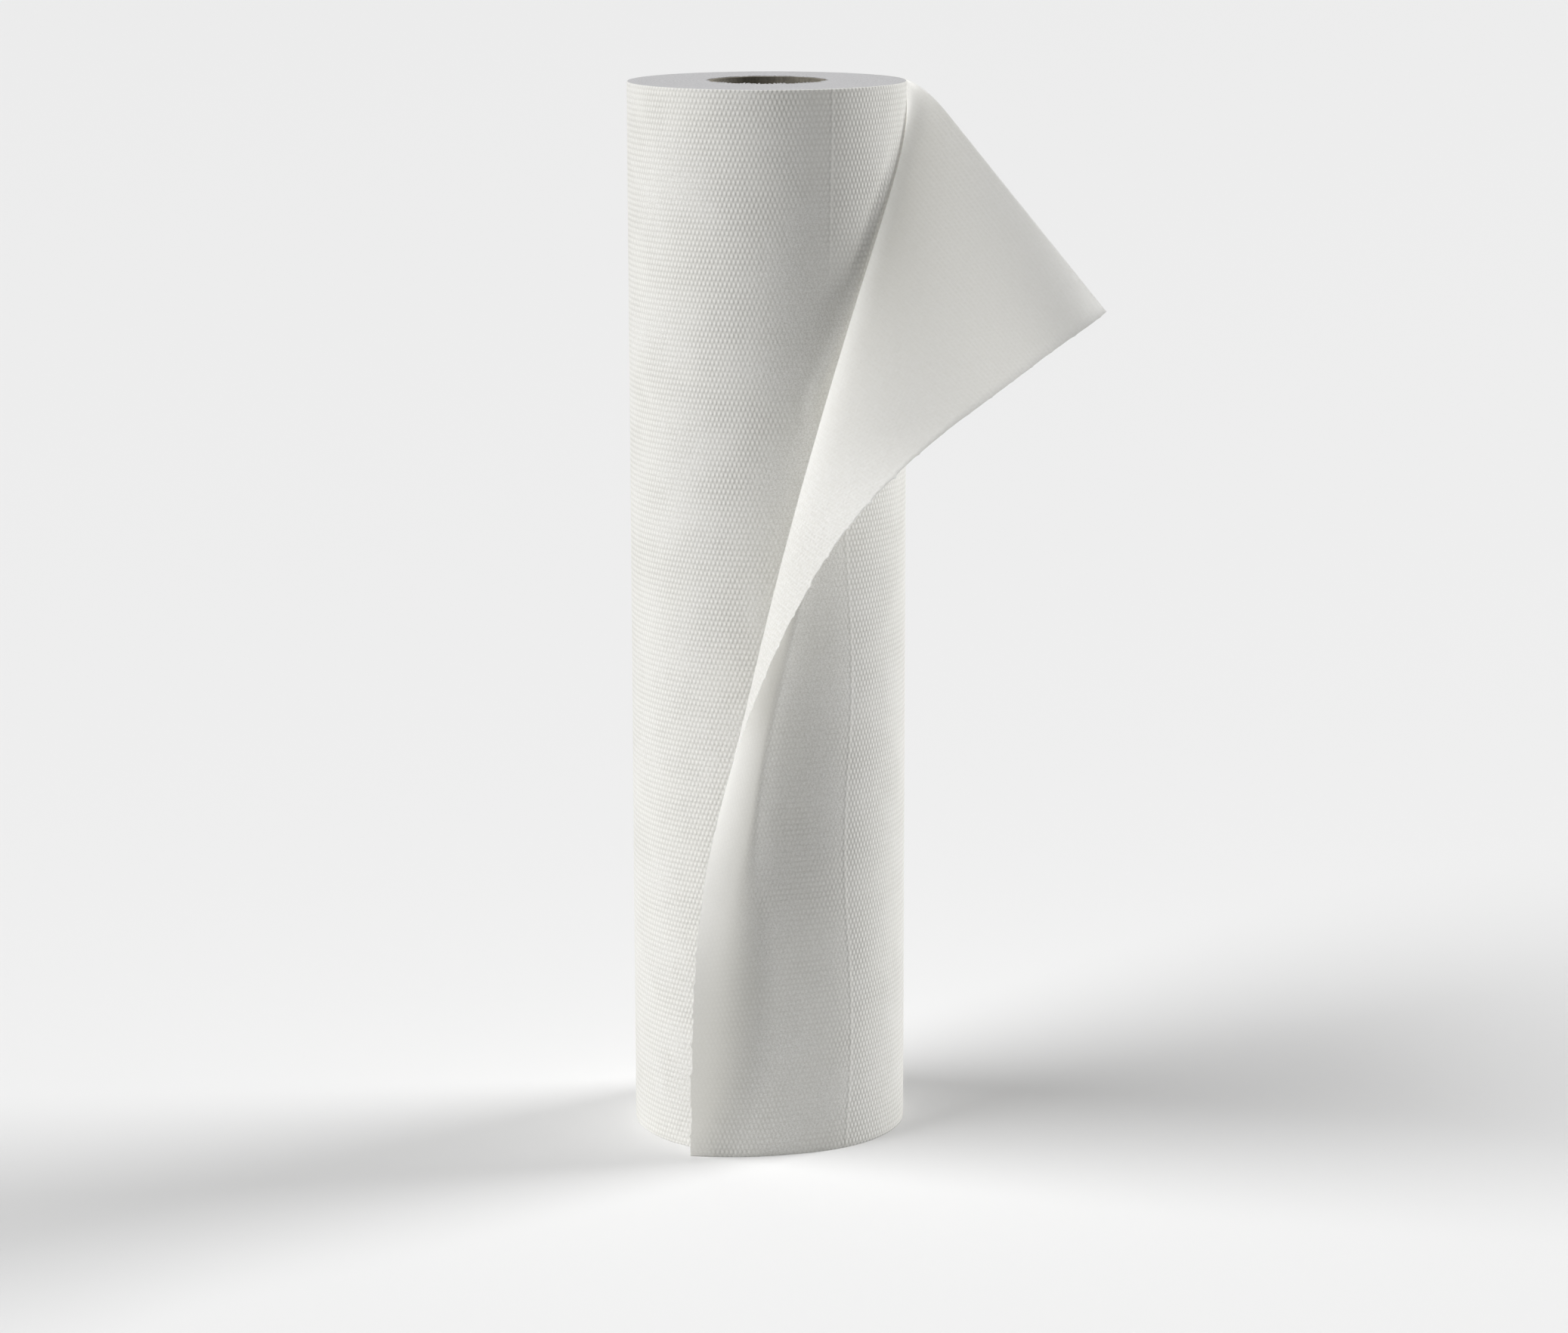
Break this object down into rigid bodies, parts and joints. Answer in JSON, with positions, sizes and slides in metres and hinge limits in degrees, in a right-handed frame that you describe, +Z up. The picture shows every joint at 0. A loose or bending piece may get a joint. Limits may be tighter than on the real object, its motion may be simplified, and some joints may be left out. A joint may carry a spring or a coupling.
{
  "type": "examination table paper roll",
  "caption": "Roll of embossed table paper wound on an open cardboard core, standing on end, its torn loose end folded back at the upper corner.",
  "frame": {"origin": "on the core's axis, in the plane of the sawn end that the roll stands on", "axes": "+Z up along the core's axis, -Y towards the front where the loose end lies, +X to the side where its corner is folded back"},
  "size_m": [0.2205, 0.1777, 0.5],
  "materials": {
    "core_board": "spiral-wound greyish-brown board",
    "paper": "matt white, embossed with fine raised dots"
  },
  "bodies": {
    "root": {"core_tube": "core_board", "paper_roll": "paper"}
  },
  "joints": []
}
